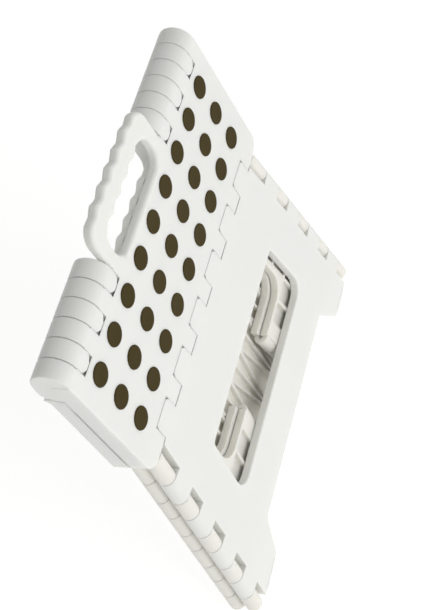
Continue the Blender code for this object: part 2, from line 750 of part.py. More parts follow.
def mid_knuckles(own):
    """Knuckles of the mid hinge: the front half has the outer two of each three."""
    spans = []
    for low, high in mid_arms():
        third = (high - low) / 3
        parts = [(low + i * third + SEAM / 2, low + (i + 1) * third - SEAM / 2) for i in range(3)]
        spans += [parts[0], parts[2]] if own else [parts[1]]
    return spans


def panel_outline():
    """The half panel in hinge coordinates: inward, and up along the corner hinge."""
    top = KNUCKLE_HIGH - 0.0015
    end = HINGE_SPAN - FACE_GAP
    points = [(PANEL_START, PANEL_FOOT_RISE), (PANEL_FOOT_WIDTH, PANEL_FOOT_RISE)]
    points += [(PANEL_FOOT_WIDTH + PANEL_ARCH_SLANT, PANEL_ARCH), (end, PANEL_ARCH)]
    points += [(end, MID_TOP), (STEP_START + 0.005, MID_TOP), (STEP_START, top), (PANEL_START, top)]
    return rounded(points, [0, 0.003, 0.010, 0, 0, 0, 0, 0])


def panel_sill(sy):
    return PANEL_SILL_FRONT if sy < 0 else PANEL_SILL_REAR


def panel_window(side, sy):
    """The C-shaped cut-out of a half panel, open towards the mid hinge, in X and Z."""
    sill = panel_sill(sy)
    low = corner_x(sill) - PANEL_STILE
    high = corner_x(WINDOW_TOP) - PANEL_STILE
    corners = [(-BEYOND, sill), (low, sill), (high, WINDOW_TOP), (-BEYOND, WINDOW_TOP)]
    outline = rounded(corners, [0, PANEL_WINDOW_CORNER, WINDOW_TOP_CORNER, 0])
    return [(side * x, z) for x, z in outline]


def level(z, q):
    """Place along the corner hinge of height z, at distance q inside it."""
    return (z + q * SPLAY_SIN) / SPLAY_COS


def panel_pockets(sy):
    """Hollows in the ribbed side of a half panel, in hinge coordinates."""
    stile = PANEL_STILE * SPLAY_COS - 2 * SKIN
    inner = PANEL_START + 0.006
    top = KNUCKLE_HIGH - SKIN - 0.0015
    end = HINGE_SPAN - 2 * MID_BARREL - SKIN
    below = panel_sill(sy) - SKIN
    above = WINDOW_TOP + SKIN
    middle = (below + above) / 2
    foot = PANEL_ARCH + SKIN
    columns = [(inner, stile), (stile + SKIN, (stile + SKIN + end) / 2 - SKIN / 2)]
    columns.append((columns[1][1] + SKIN, end))
    outlines = [box(inner, PANEL_FOOT_WIDTH - SKIN, PANEL_FOOT_RISE + SKIN, PANEL_ARCH - SKIN)]
    for a, b in columns:
        outlines.append([(a, foot), (b, foot), (b, level(below, b)), (a, level(below, a))])
        lid = top if b < STEP_START else MID_TOP - SKIN
        outlines.append([(a, level(above, a)), (b, level(above, b)), (b, lid), (a, lid)])
    for low, high in ((below + SKIN, middle - RIB / 2), (middle + RIB / 2, above - SKIN)):
        a, b = columns[0]
        outlines.append([(a, level(low, a)), (b, level(low, b)), (b, level(high, b)), (a, level(high, a))])
    return outlines


def build_panel(name, side, sy):
    """One half end panel, hinged to a leg and to its partner. sy is -1 at the front."""
    place = corner_frame(side)
    depth = spread(-sy, FACE_GAP, PANEL_FRONT)
    obj = prisms(name, [(panel_outline(), *depth)], place)
    cut(obj, [(panel_window(side, sy), -BEYOND, BEYOND)], in_xz)
    ribbed = spread(-sy, FACE_GAP + PANEL_SKIN, PANEL_FRONT + BEYOND)
    cut(obj, [(o, *ribbed) for o in panel_pockets(sy)], place)

    def barrel(q, y, t):
        return place(q, t, y)
    centre = sy * INSET
    section = circle(0, centre, SMALL_BARREL, 2 * BARREL_STEPS)
    spans = panel_knuckles()
    near, far = sorted((sy * FACE_GAP, sy * INSET))
    trim = 0.0001
    webs = [(box(0, PANEL_START + 0.001, low + trim, high - trim), near, far) for low, high in spans]
    webs[0] = (box(0, PANEL_START + 0.001, PANEL_FOOT_RISE + trim, spans[0][1] - trim), near, far)
    webs[-1] = (box(0, PANEL_START + 0.001, spans[-1][0] + trim, spans[-1][1] - 0.0017), near, far)
    unite(obj, webs, place)
    unite(obj, [(section, low, high) for low, high in spans], barrel)
    hole = circle(0, centre, PIN_HOLE, BARREL_STEPS)
    cut(obj, [(hole, KNUCKLE_LOW - BEYOND, KNUCKLE_HIGH - PIN_END)], barrel)

    front = sy < 0
    turn = circle(HINGE_SPAN, 0, PANEL_FRONT + TURN_GAP, 2 * BARREL_STEPS)
    others = [(low - SEAM * 0.8, high + SEAM * 0.8) for low, high in mid_knuckles(not front)]
    cut(obj, [(turn, low, high) for low, high in others], barrel)
    ends = circle(HINGE_SPAN, 0, MID_BARREL, 2 * BARREL_STEPS)
    unite(obj, [(ends, low, high) for low, high in mid_knuckles(front)], barrel)
    hole = circle(HINGE_SPAN, 0, PIN_HOLE, BARREL_STEPS)
    cut(obj, [(hole, low - SEAM, high + SEAM) for low, high in mid_arms()], barrel)
    return obj


# ------------------------------------------------------- pins and foot pads

def build_pin(name, place, section_centre, low, high):
    section = circle(*section_centre, PIN_RADIUS, BARREL_STEPS)
    return prisms(name, [(section, low, high)], place)


def build_pad(name, side, sy):
    x0, x1 = pad_span(side)
    y0, y1 = sorted((sy * (HALF_DEPTH - 0.0012), sy * (HALF_DEPTH - 0.0012 - PAD_WIDTH)))
    return prisms(name, [(box(x0, x1, 0, PAD_HEIGHT), y0, y1)], in_xz)


# --------------------------------------------------------------- materials

def make_material(name, colour, roughness, metallic=0.0):
    material = bpy.data.materials.new(name)
    material.use_nodes = True
    shader = material.node_tree.nodes["Principled BSDF"]
    shader.inputs["Base Color"].default_value = (*colour, 1)
    shader.inputs["Roughness"].default_value = roughness
    shader.inputs["Metallic"].default_value = metallic
    return material


def finish(obj, material, pivot):
    """Give the object its material, and put its origin on its joint."""
    obj.data.materials.clear()
    obj.data.materials.append(material)
    for polygon in obj.data.polygons:
        polygon.material_index = 0
    point = Vector(pivot)
    for vertex in obj.data.vertices:
        vertex.co -= point
    obj.location = point
    obj.data.shade_smooth()
    obj.data.set_sharp_from_angle(angle=math.radians(30))


def main():
    for old in list(bpy.data.objects):
        bpy.data.objects.remove(old)
    plastic = make_material("white_plastic", (0.80, 0.80, 0.77), 0.42)
    panel_plastic = make_material("panel_plastic", (0.76, 0.75, 0.71), 0.45)
    rubber = make_material("olive_rubber", (0.060, 0.046, 0.012), 0.75)
    steel = make_material("zinc_steel", (0.62, 0.62, 0.60), 0.35, 1.0)

    centre = (0, 0, CENTRE_Z)
    front_axis = (0, -INSET, LEG_AXIS_Z)
    rear_axis = (0, INSET, LEG_AXIS_Z)
    front_own, rear_own = centre_fingers(1), centre_fingers(0)
    finish(build_top("top_half_front", -1, front_own, rear_own), plastic, front_axis)
    finish(build_top("top_half_rear", 1, rear_own, front_own), plastic, centre)
    finish(build_mat("anti_slip_mat_front", -1, False), rubber, front_axis)
    finish(build_mat("anti_slip_mat_rear", 1, True), rubber, centre)
    finish(build_leg("leg_front", -1), plastic, (0, 0, 0))
    finish(build_leg("leg_rear", 1), plastic, rear_axis)

    blind = TOP_LENGTH / 2 - PIN_END - 0.0005
    for sy, half in ((-1, "front"), (1, "rear")):
        axis = (0, sy * INSET, LEG_AXIS_Z)
        root = (0, 0, 0) if sy < 0 else rear_axis
        pin = build_pin(f"leg_hinge_pin_{half}", in_yz, axis[1:], -blind, blind)
        finish(pin, steel, root)
        for side, end in ((-1, "left"), (1, "right")):
            place = corner_frame(side)

            def barrel(q, y, t, place=place):
                return place(q, t, y)
            pivot = tuple(place(0, 0, sy * INSET))
            panel = build_panel(f"end_panel_{half}_{end}", side, sy)
            finish(panel, panel_plastic, pivot)
            low, high = KNUCKLE_LOW + 0.001, KNUCKLE_HIGH - PIN_END - 0.0005
            pin = build_pin(f"corner_pin_{half}_{end}", barrel, (0, sy * INSET), low, high)
            finish(pin, steel, root)
            finish(build_pad(f"foot_pad_{half}_{end}", side, sy), rubber, root)

    for side, end in ((-1, "left"), (1, "right")):
        place = corner_frame(side)

        def mid_barrel(q, y, t, place=place):
            return place(q, t, y)
        for (low, high), level in zip(mid_arms(), ("lower", "upper")):
            pin = build_pin(f"mid_pin_{level}_{end}", mid_barrel, (HINGE_SPAN, 0), low + 0.001, high - 0.001)
            finish(pin, steel, tuple(place(0, 0, -INSET)))
        start = HANDLE_HALF + 0.0015
        span = (start, blind) if side > 0 else (-blind, -start)
        pin = build_pin(f"centre_pin_{end}", in_yz, (0, CENTRE_Z), *span)
        finish(pin, steel, front_axis)


main()
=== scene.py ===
"""Looks of the folding step stool: moulded plastic, rubber dots and zinc pins, in a pale studio."""
import math

import bmesh
import bpy
from mathutils import Matrix, Vector
from mathutils.geometry import delaunay_2d_cdt


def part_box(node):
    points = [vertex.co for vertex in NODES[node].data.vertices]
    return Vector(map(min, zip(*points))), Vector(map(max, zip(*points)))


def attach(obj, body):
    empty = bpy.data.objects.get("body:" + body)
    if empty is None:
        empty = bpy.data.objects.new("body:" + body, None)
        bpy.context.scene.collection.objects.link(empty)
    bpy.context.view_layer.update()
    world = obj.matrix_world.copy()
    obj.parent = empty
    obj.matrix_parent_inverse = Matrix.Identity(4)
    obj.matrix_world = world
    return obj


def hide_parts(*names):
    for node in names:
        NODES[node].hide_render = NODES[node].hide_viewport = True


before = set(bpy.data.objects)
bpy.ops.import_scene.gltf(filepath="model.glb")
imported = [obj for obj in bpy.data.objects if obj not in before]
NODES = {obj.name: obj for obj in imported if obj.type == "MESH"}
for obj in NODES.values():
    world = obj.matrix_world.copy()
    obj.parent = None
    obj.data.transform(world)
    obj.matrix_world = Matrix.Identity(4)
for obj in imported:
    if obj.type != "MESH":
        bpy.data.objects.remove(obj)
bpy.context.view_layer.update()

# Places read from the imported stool
TOP_LOW, TOP_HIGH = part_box("top_half_front")
PIN_LOW, PIN_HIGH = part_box("centre_pin_right")
LEG_PIN_LOW, LEG_PIN_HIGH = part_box("leg_hinge_pin_front")
CENTRE_Z = (PIN_LOW.z + PIN_HIGH.z) / 2
LEG_AXIS_Z = (LEG_PIN_LOW.z + LEG_PIN_HIGH.z) / 2
FACE_Y = -TOP_LOW.y
HALF_TOP = TOP_HIGH.x
PIN_INSET = 0.0017           # from the handle's side to the end of the centre pin
HANDLE_HALF = PIN_LOW.x - PIN_INSET

# Rounded edges
EDGE = 0.0004
HANDLE_EDGE = 0.0027
GRIP_EDGE = 0.0026
END_EDGE = 0.0036
BARREL_EDGE = 0.0009
WINDOW_EDGE = 0.0012
EDGE_SEGMENTS = 3
OUTLINE_SEGMENTS = 4
SHORTEST = 0.0011            # corners with a shorter edge stay as they are
SLIVER = math.radians(25)    # corners sharper than this stay as they are
OUTWARD = math.radians(40)   # edges that turn outward by less stay as they are

# Bounds that hold one outline and no other
WINDOW_REACH = 0.112
WINDOW_LOW = 0.070
WINDOW_HIGH = 0.146
GRIP_OUTER = 0.0438          # half the width of the grip opening, with a margin
GRIP_BELOW = 0.0098          # its lower edge below the centre hinge, with a margin
GRIP_ABOVE = 0.0213          # its upper edge above the centre hinge, with a margin
GRIP_MARGIN = 0.0002         # between the grip's rim and the handle's outline
HANDLE_DEPTH = 0.008
HANDLE_SLACK = 0.0006        # past the handle's side
HINGE_SLACK = 0.001          # below the centre hinge
BARREL_SLACK = 0.0003
BARREL_TOP = 0.008           # above the centre hinge
INNER_SHARE = 0.35           # share of the half thickness that is taken as the inside

# Mesh repair and shading
SAME_POINT = 0.00001         # corners nearer than this are merged
SAME_PLANE = 0.00001         # faces off their plane by less than this are level
SAME_FACING = 0.99999        # cosine above which two faces look the same way
OVERLAP = 3e-7               # area, in square metres, past which a face is taken as broken
MILLIMETRES = 1000           # the flat filling works in millimetres
FILL_SLACK = 1e-6
FLAT_JOIN = math.radians(0.6)      # faces that meet flatter than this become one
SMOOTH_BELOW = math.radians(32)    # faces that meet flatter than this shade as one
RUBBER_SMOOTH = math.radians(40)

# Anti-slip dots
DOT_RADIUS = 0.00835
DOT_PROUD = 0.0008
DOT_COLUMNS = 9
DOT_ROWS = 3
DOT_PITCH = 0.030
ROW_PITCH = 0.0285
FIRST_ROW = 0.0285           # above the leg hinge
STRIP_HALF = 0.005
STRIP_BACK = 0.0048          # back of the rubber strip behind the face
STRIP_FRONT = 0.0033
STRIP_EDGE = 0.0003
STRIP_END = 0.0017           # from the dot next to the notch to the strip's end
DOT_SIDES = 40
DOT_BACK_GAP = 0.0006        # the dot ends this far before the strip's back
DOT_INSETS = (0.0006, 0.0009, 0.0030)
DOT_DISH = 0.00015
DOT_EDGE = 0.00045
DOT_EDGE_SEGMENTS = 3
RIM_DEPTH = 0.00005          # how near to the dot's face its rim is looked for
RIM_WIDTH = 0.0002

# Light let into the plastic
LIGHT_SPREAD = (1.0, 0.95, 0.85)    # share of red, green and blue
LIGHT_REACH = 0.006

# Camera
VIEW_TARGET = Vector((0.01068, 0, 0.17586))
VIEW_DISTANCE = 0.99624
VIEW_AZIMUTH = math.radians(-134.82)
VIEW_ELEVATION = math.radians(46.97)
VIEW_ROLL = math.radians(-36.93)
LENS = 78.1

# Studio
FLOOR_SIZE = 8
FLOOR_GLOW = 0.54
AIR_STRENGTH = 0.47
LIT_POINT = (0, 0, 0.18)
KEY_POWER = 22.5
FILL_POWER = 1


# ---------------------------------------------------------------- selection

def deselect():
    for obj in list(bpy.context.selected_objects):
        obj.select_set(False)


def take(obj):
    """Make obj the one selected, active object."""
    deselect()
    obj.select_set(True)
    bpy.context.view_layer.objects.active = obj


def edit(obj, mode="VERT"):
    take(obj)
    bpy.ops.object.mode_set(mode="EDIT")
    bpy.ops.mesh.select_mode(type=mode)
    bpy.ops.mesh.select_all(action="DESELECT")


def modifier(obj, kind, **settings):
    """Add a modifier and apply it."""
    take(obj)
    added = obj.modifiers.new(kind.lower(), kind)
    for key, value in settings.items():
        setattr(added, key, value)
    bpy.ops.object.modifier_apply(modifier=added.name)


def join(objects, name):
    deselect()
    for obj in objects:
        obj.select_set(True)
    bpy.context.view_layer.objects.active = objects[0]
    bpy.ops.object.join()
    joined = bpy.context.view_layer.objects.active
    joined.name = name
    joined.data.name = name
    return joined


def settle(obj):
    """Bake the object's place into its mesh."""
    take(obj)
    bpy.ops.object.transform_apply(location=True, rotation=True, scale=True)


def dress(obj, material, slot, body, *nodes):
    """Give a finished piece its material, the body it rides on and the CAD nodes it stands for."""
    obj.data.materials.clear()
    obj.data.materials.append(material)
    for face in obj.data.polygons:
        face.material_index = 0
    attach(obj, body)
    if nodes:
        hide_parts(*nodes)


# ------------------------------------------------------------- shader groups

def add(tree, kind, **values):
    node = tree.nodes.new(kind)
    for key, value in values.items():
        if key in node.inputs.keys():
            node.inputs[key].default_value = value
        else:
            setattr(node, key, value)
    return node


def new_group(name, inputs, outputs):
    """A shader group: inputs and outputs list (name, socket type, default)."""
    group = bpy.data.node_groups.new(name, "ShaderNodeTree")
    for label, kind, default in inputs:
        socket = group.interface.new_socket(name=label, in_out="INPUT", socket_type=kind)
        socket.default_value = default
    for label, kind in outputs:
        group.interface.new_socket(name=label, in_out="OUTPUT", socket_type=kind)
    return group, group.nodes.new("NodeGroupInput"), group.nodes.new("NodeGroupOutput")


FLOAT = "NodeSocketFloat"
COLOUR = "NodeSocketColor"
VECTOR = "NodeSocketVector"


def spark_grain():
    """The fine eroded texture of a mould, as a height, and a slow unevenness of gloss."""
    group, given, out = new_group(
        "spark_grain",
        [("Place", VECTOR, (0, 0, 0)), ("Grain Size", FLOAT, 0.0005),
         ("Gloss", FLOAT, 0.4), ("Unevenness", FLOAT, 0.08)],
        [("Height", FLOAT), ("Roughness", FLOAT)])
    link = group.links.new
    scale = add(group, "ShaderNodeMath", operation="DIVIDE")
    scale.inputs[0].default_value = 1
    link(given.outputs["Grain Size"], scale.inputs[1])
    fine = add(group, "ShaderNodeTexNoise", Detail=3.0, Roughness=0.6)
    link(given.outputs["Place"], fine.inputs["Vector"])
    link(scale.outputs[0], fine.inputs["Scale"])
    link(fine.outputs["Fac"], out.inputs["Height"])
    broad = add(group, "ShaderNodeTexNoise", Scale=38.0, Detail=4.0, Roughness=0.55)
    link(given.outputs["Place"], broad.inputs["Vector"])
    centred = add(group, "ShaderNodeMath", operation="SUBTRACT")
    link(broad.outputs["Fac"], centred.inputs[0])
    centred.inputs[1].default_value = 0.5
    amount = add(group, "ShaderNodeMath", operation="MULTIPLY_ADD")
    link(centred.outputs[0], amount.inputs[0])
    link(given.outputs["Unevenness"], amount.inputs[1])
    link(given.outputs["Gloss"], amount.inputs[2])
    link(amount.outputs[0], out.inputs["Roughness"])
    return group


def flow_tone():
    """Slow drifts of colour where the melt flowed and cooled, and faint handling marks."""
    group, given, out = new_group(
        "flow_tone",
        [("Place", VECTOR, (0, 0, 0)), ("Colour", COLOUR, (0.8, 0.8, 0.8, 1)),
         ("Shade", COLOUR, (0.7, 0.7, 0.7, 1)), ("Drift", FLOAT, 0.3), ("Marks", FLOAT, 0.1)],
        [("Colour", COLOUR), ("Mask", FLOAT)])
    link = group.links.new
    stretch = add(group, "ShaderNodeMapping")
    stretch.inputs["Scale"].default_value = (6.0, 9.0, 14.0)
    link(given.outputs["Place"], stretch.inputs["Vector"])
    slow = add(group, "ShaderNodeTexNoise", Scale=1.0, Detail=3.0, Roughness=0.5, Distortion=0.6)
    link(stretch.outputs["Vector"], slow.inputs["Vector"])
    drift = add(group, "ShaderNodeMath", operation="MULTIPLY")
    link(slow.outputs["Fac"], drift.inputs[0])
    link(given.outputs["Drift"], drift.inputs[1])
    streak = add(group, "ShaderNodeMapping")
    streak.inputs["Scale"].default_value = (160.0, 160.0, 30.0)
    link(given.outputs["Place"], streak.inputs["Vector"])
    rubbed = add(group, "ShaderNodeTexNoise", Scale=1.0, Detail=5.0, Roughness=0.7)
    link(streak.outputs["Vector"], rubbed.inputs["Vector"])
    spots = add(group, "ShaderNodeMapRange")
    spots.inputs["From Min"].default_value = 0.62
    spots.inputs["From Max"].default_value = 0.78
    link(rubbed.outputs["Fac"], spots.inputs["Value"])
    marks = add(group, "ShaderNodeMath", operation="MULTIPLY")
    link(spots.outputs["Result"], marks.inputs[0])
    link(given.outputs["Marks"], marks.inputs[1])
    total = add(group, "ShaderNodeMath", operation="ADD", use_clamp=True)
    link(drift.outputs[0], total.inputs[0])
    link(marks.outputs[0], total.inputs[1])
    mix = add(group, "ShaderNodeMix", data_type="RGBA")
    link(total.outputs[0], mix.inputs["Factor"])
    link(given.outputs["Colour"], mix.inputs[6])
    link(given.outputs["Shade"], mix.inputs[7])
    link(mix.outputs[2], out.inputs["Colour"])
    link(marks.outputs[0], out.inputs["Mask"])
    return group


GRAIN = spark_grain()
TONE = flow_tone()


def finish_material(name, colour, shade, gloss, unevenness, grain, bump, drift, marks,
                    metallic=0.0, specular=0.5, glow=0.0):
    """A Principled material driven by the grain and tone groups in object coordinates.

    glow is how much light the plastic lets into itself.
    """
    material = bpy.data.materials.new(name)
    material.use_nodes = True
    tree = material.node_tree
    shader = tree.nodes["Principled BSDF"]
    shader.inputs["Metallic"].default_value = metallic
    shader.inputs["Specular IOR Level"].default_value = specular
    shader.inputs["Subsurface Weight"].default_value = glow
    shader.inputs["Subsurface Radius"].default_value = LIGHT_SPREAD
    shader.inputs["Subsurface Scale"].default_value = LIGHT_REACH
    place = tree.nodes.new("ShaderNodeTexCoord").outputs["Object"]
    texture = tree.nodes.new("ShaderNodeGroup")
    texture.node_tree = GRAIN
    texture.inputs["Grain Size"].default_value = grain
    texture.inputs["Gloss"].default_value = gloss
    texture.inputs["Unevenness"].default_value = unevenness
    tone = tree.nodes.new("ShaderNodeGroup")
    tone.node_tree = TONE
    tone.inputs["Colour"].default_value = (*colour, 1)
    tone.inputs["Shade"].default_value = (*shade, 1)
    tone.inputs["Drift"].default_value = drift
    tone.inputs["Marks"].default_value = marks
    tree.links.new(place, texture.inputs["Place"])
    tree.links.new(place, tone.inputs["Place"])
    tree.links.new(tone.outputs["Colour"], shader.inputs["Base Color"])
    tree.links.new(texture.outputs["Roughness"], shader.inputs["Roughness"])
    relief = tree.nodes.new("ShaderNodeBump")
    relief.inputs["Strength"].default_value = 1.0
    relief.inputs["Distance"].default_value = bump
    tree.links.new(texture.outputs["Height"], relief.inputs["Height"])
    tree.links.new(relief.outputs["Normal"], shader.inputs["Normal"])
    return material


WHITE = finish_material("satin_white_plastic", (0.80, 0.805, 0.775), (0.755, 0.755, 0.715),
                        gloss=0.40, unevenness=0.10, grain=0.0006, bump=0.00002,
                        drift=0.35, marks=0.12, glow=0.35)
PANEL = finish_material("satin_panel_plastic", (0.815, 0.80, 0.75), (0.76, 0.735, 0.67),
                        gloss=0.46, unevenness=0.12, grain=0.0007, bump=0.00003,
                        drift=0.45, marks=0.15, glow=0.5)
RUBBER = finish_material("olive_rubber", (0.045, 0.031, 0.006), (0.075, 0.056, 0.020),
                         gloss=0.78, unevenness=0.25, grain=0.0009, bump=0.00008,
                         drift=0.55, marks=0.35, specular=0.15)
ZINC = finish_material("zinc_plated_steel", (0.62, 0.62, 0.60), (0.45, 0.44, 0.40),
                       gloss=0.30, unevenness=0.18, grain=0.0005, bump=0.00002,
                       drift=0.5, marks=0.4, metallic=1.0)


# -------------------------------------------------------- moulded pieces

def sound_corner(vertex):
    """Whether a corner has room for a small rounding: no short edge and no sliver beside it."""
    if min(edge.calc_length() for edge in vertex.link_edges) < SHORTEST:
        return False
    return all(loop.calc_angle() > SLIVER for loop in vertex.link_loops)


def round_edges(obj, width, segments, wanted):
    """Round the outward edges for which wanted(a, b) holds; the object is in edit mode."""
    mesh = bmesh.from_edit_mesh(obj.data)
    for face in mesh.faces:
        face.select_set(False)
    picked = []
    for edge in mesh.edges:
        edge.select_set(False)
        if len(edge.link_faces) != 2 or edge.calc_face_angle_signed(0) < OUTWARD:
            continue
        if wanted(edge.verts[0], edge.verts[1]):
            picked.append(edge)
    for edge in picked:
        edge.select_set(True)
    bmesh.update_edit_mesh(obj.data)
    if picked:
        bpy.ops.mesh.bevel(offset=width, segments=segments, affect="EDGES", clamp_overlap=False)


def broken_faces(mesh):
    """Many-sided faces whose triangles overlap, left where roundings met a bridging edge."""
    covered = {}
    folded = set()
    for loops in mesh.calc_loop_triangles():
        face = loops[0].face
        if len(face.verts) < 5:
            continue
        a, b, c = (loop.vert.co for loop in loops)
        cross = (b - a).cross(c - a) / 2
        covered[face] = covered.get(face, 0) + cross.length
        if cross.dot(face.normal) < -OVERLAP:
            folded.add(face)
    return [face for face, area in covered.items() if face in folded or area - face.calc_area() > OVERLAP]


def flat_region(start):
    """All faces that touch each other, start among them, and lie in its plane."""
    region = {start}
    queue = [start]
    while queue:
        for edge in queue.pop().edges:
            for face in edge.link_faces:
                level = abs((face.calc_center_median() - start.verts[0].co).dot(start.normal)) < SAME_PLANE
                if face not in region and level and face.normal.dot(start.normal) > SAME_FACING:
                    region.add(face)
                    queue.append(face)
    return region


def inside(point, segments):
    """Whether a flat point lies within the outlines given as pairs of points."""
    crossings = 0
    for a, b in segments:
        if (a.y > point.y) != (b.y > point.y):
            crossings += a.x + (point.y - a.y) / (b.y - a.y) * (b.x - a.x) > point.x
    return crossings % 2 == 1


def fill_flat(mesh, rim, out):
    """Cover the flat area within the rim edges, with its holes left open, facing out."""
    across = out.orthogonal().normalized()
    along = out.cross(across)
    points = list(dict.fromkeys(point for edge in rim for point in edge.verts))
    places = {point: i for i, point in enumerate(points)}
    flat = [Vector((point.co.dot(across) * MILLIMETRES, point.co.dot(along) * MILLIMETRES))
            for point in points]
    pairs = [tuple(places[point] for point in edge.verts) for edge in rim]
    segments = [(flat[i], flat[j]) for i, j in pairs]
    coords, _, faces, origins, _, _ = delaunay_2d_cdt(flat, pairs, [], 0, FILL_SLACK)
    height = out * points[0].co.dot(out)
    for place, sources in zip(coords[:], origins):
        if not sources:
            level = (across * place.x + along * place.y) / MILLIMETRES
            points.append(mesh.verts.new(level + height))
            sources.append(len(points) - 1)
    for corners in faces:
        centre = sum((coords[i] for i in corners), Vector((0, 0))) / len(corners)
        if inside(centre, segments):
            mesh.faces.new([points[origins[i][0]] for i in corners])


def refill_flats(obj):
    """Fill anew the flat regions that hold a broken face; in edit mode."""
    mesh = bmesh.from_edit_mesh(obj.data)
    mesh.normal_update()
    broken = broken_faces(mesh)
    while broken:
        start = broken.pop()
        out = start.normal.copy()
        region = flat_region(start)
        broken = [face for face in broken if face not in region]
        every_edge = dict.fromkeys(edge for face in region for edge in face.edges)
        rim = [edge for edge in every_edge
               if sum(face in region for face in edge.link_faces) == 1 and len(edge.link_faces) > 1]
        bmesh.ops.delete(mesh, geom=list(region), context="FACES")
        fill_flat(mesh, rim, out)
    mesh.normal_update()
    bmesh.update_edit_mesh(obj.data)


def moulding(node, name, body, material, slot, roundings=()):
    """The CAD node's solid with its own roundings and softened edges, as one moulded piece."""
    source = NODES[node]
    obj = bpy.data.objects.new(name, source.data.copy())
    bpy.context.scene.collection.objects.link(obj)
    edit(obj)
    bpy.ops.mesh.select_all(action="SELECT")
    bpy.ops.mesh.remove_doubles(threshold=SAME_POINT)
    bpy.ops.mesh.customdata_custom_splitnormals_clear()
    bpy.ops.mesh.mark_sharp(clear=True)
    bpy.ops.mesh.dissolve_limited(angle_limit=FLAT_JOIN)
    bpy.ops.mesh.select_mode(type="EDGE")
    for width, wanted in roundings:
        round_edges(obj, width, OUTLINE_SEGMENTS, wanted)
    round_edges(obj, EDGE, EDGE_SEGMENTS, lambda a, b: sound_corner(a) and sound_corner(b))
    refill_flats(obj)
    bpy.ops.object.mode_set(mode="OBJECT")
    take(obj)
    bpy.ops.object.shade_smooth_by_angle(angle=SMOOTH_BELOW)
    modifier(obj, "WEIGHTED_NORMAL", mode="FACE_AREA", weight=50, keep_sharp=True)
    dress(obj, material, slot, body, node)
    return obj


def near(value, target, slack=0.0001):
    return abs(value - target) < slack


def handle_outline(a, b):
    """The handle's outer edges, on its front and its back."""
    for end in (a, b):
        x, y, z = end.co
        on_plate = near(y, -FACE_Y) or near(y, -FACE_Y + HANDLE_DEPTH)
        beside = abs(x) > GRIP_OUTER or z > CENTRE_Z + GRIP_ABOVE + GRIP_MARGIN
        in_handle = abs(x) < HANDLE_HALF + HANDLE_SLACK and z > CENTRE_Z - HINGE_SLACK
        if not (on_plate and beside and in_handle):
            return False
    return near(a.co.y, b.co.y)


def grip_rim(a, b):
    """The rim of the grip opening, on its front and its back."""
    for end in (a, b):
        x, y, z = end.co
        on_plate = near(y, -FACE_Y) or near(y, -FACE_Y + HANDLE_DEPTH)
        in_height = CENTRE_Z - GRIP_BELOW < z < CENTRE_Z + GRIP_ABOVE
        if not (on_plate and abs(x) < GRIP_OUTER - GRIP_MARGIN and in_height):
            return False
    return near(a.co.y, b.co.y)


def top_end(a, b):
    """The outer edges of a half top's two ends, around the barrel and along the face."""
    for end in (a, b):
        inner_edge = abs(end.co.y) < FACE_Y * INNER_SHARE and end.co.z < CENTRE_Z + BARREL_TOP
        if inner_edge or not near(abs(end.co.x), HALF_TOP):
            return False
    return True


def barrel_rim(a, b):
    """The rims of the centre knuckles, on the outside of the fold."""
    for end in (a, b):
        reach = math.hypot(end.co.y, end.co.z - CENTRE_Z)
        outside = near(reach, FACE_Y, BARREL_SLACK) and end.co.z >= CENTRE_Z - HINGE_SLACK
        if not outside or near(abs(end.co.x), HALF_TOP):
            return False
    return near(a.co.x, b.co.x) and abs(a.co.x) > HANDLE_HALF + HANDLE_SLACK


def window_rim(a, b):
    """The outer rim of the front leg's window."""
    for end in (a, b):
        in_height = WINDOW_LOW < end.co.z < WINDOW_HIGH
        if not (near(end.co.y, -FACE_Y) and abs(end.co.x) < WINDOW_REACH and in_height):
            return False
    return True


moulding("top_half_front", "front_top_half", "top_front", WHITE, "white_plastic",
         ((GRIP_EDGE, grip_rim), (HANDLE_EDGE, handle_outline), (END_EDGE, top_end),
          (BARREL_EDGE, barrel_rim)))
moulding("top_half_rear", "rear_top_half", "top_rear", WHITE, "white_plastic",
         ((END_EDGE, top_end), (BARREL_EDGE, barrel_rim)))
moulding("leg_front", "front_leg", "leg_front", WHITE, "white_plastic", ((WINDOW_EDGE, window_rim),))
moulding("leg_rear", "rear_leg", "leg_rear", PANEL, "panel_plastic")
for half in ("front", "rear"):
    for end in ("left", "right"):
        moulding(f"end_panel_{half}_{end}", f"{half}_{end}_panel", f"panel_{half}_{end}",
                 PANEL, "panel_plastic")


# ------------------------------------------------------- anti-slip mats

def dot(side):
    """One rubber dot with a soft rim, standing through the face; side is -1 at the front."""
    deselect()
    depth = STRIP_BACK + DOT_PROUD - DOT_BACK_GAP
    middle = side * (FACE_Y + DOT_PROUD - depth / 2)
    bpy.ops.mesh.primitive_cylinder_add(vertices=DOT_SIDES, radius=DOT_RADIUS, depth=depth,
                                        location=(0, middle, 0), rotation=(-side * math.pi / 2, 0, 0))
    obj = bpy.context.active_object
    settle(obj)
    edit(obj, "FACE")
    bpy.ops.object.mode_set(mode="OBJECT")
    for face in obj.data.polygons:
        face.select = face.normal.y * side > 0.9
    bpy.ops.object.mode_set(mode="EDIT")
    for thickness in DOT_INSETS:
        bpy.ops.mesh.inset(thickness=thickness)
    bpy.ops.transform.translate(value=(0, -side * DOT_DISH, 0))
    bpy.ops.object.mode_set(mode="OBJECT")
    for edge in obj.data.edges:
        a, b = (obj.data.vertices[i].co for i in edge.vertices)
        rim = all(abs(p.y - side * (FACE_Y + DOT_PROUD)) < RIM_DEPTH for p in (a, b))
        edge.select = rim and all(math.hypot(p.x, p.z) > DOT_RADIUS - RIM_WIDTH for p in (a, b))
    bpy.ops.object.mode_set(mode="EDIT")
    bpy.ops.mesh.select_mode(type="EDGE")
    bpy.ops.mesh.bevel(offset=DOT_EDGE, segments=DOT_EDGE_SEGMENTS, affect="EDGES")
    bpy.ops.object.mode_set(mode="OBJECT")
    return obj


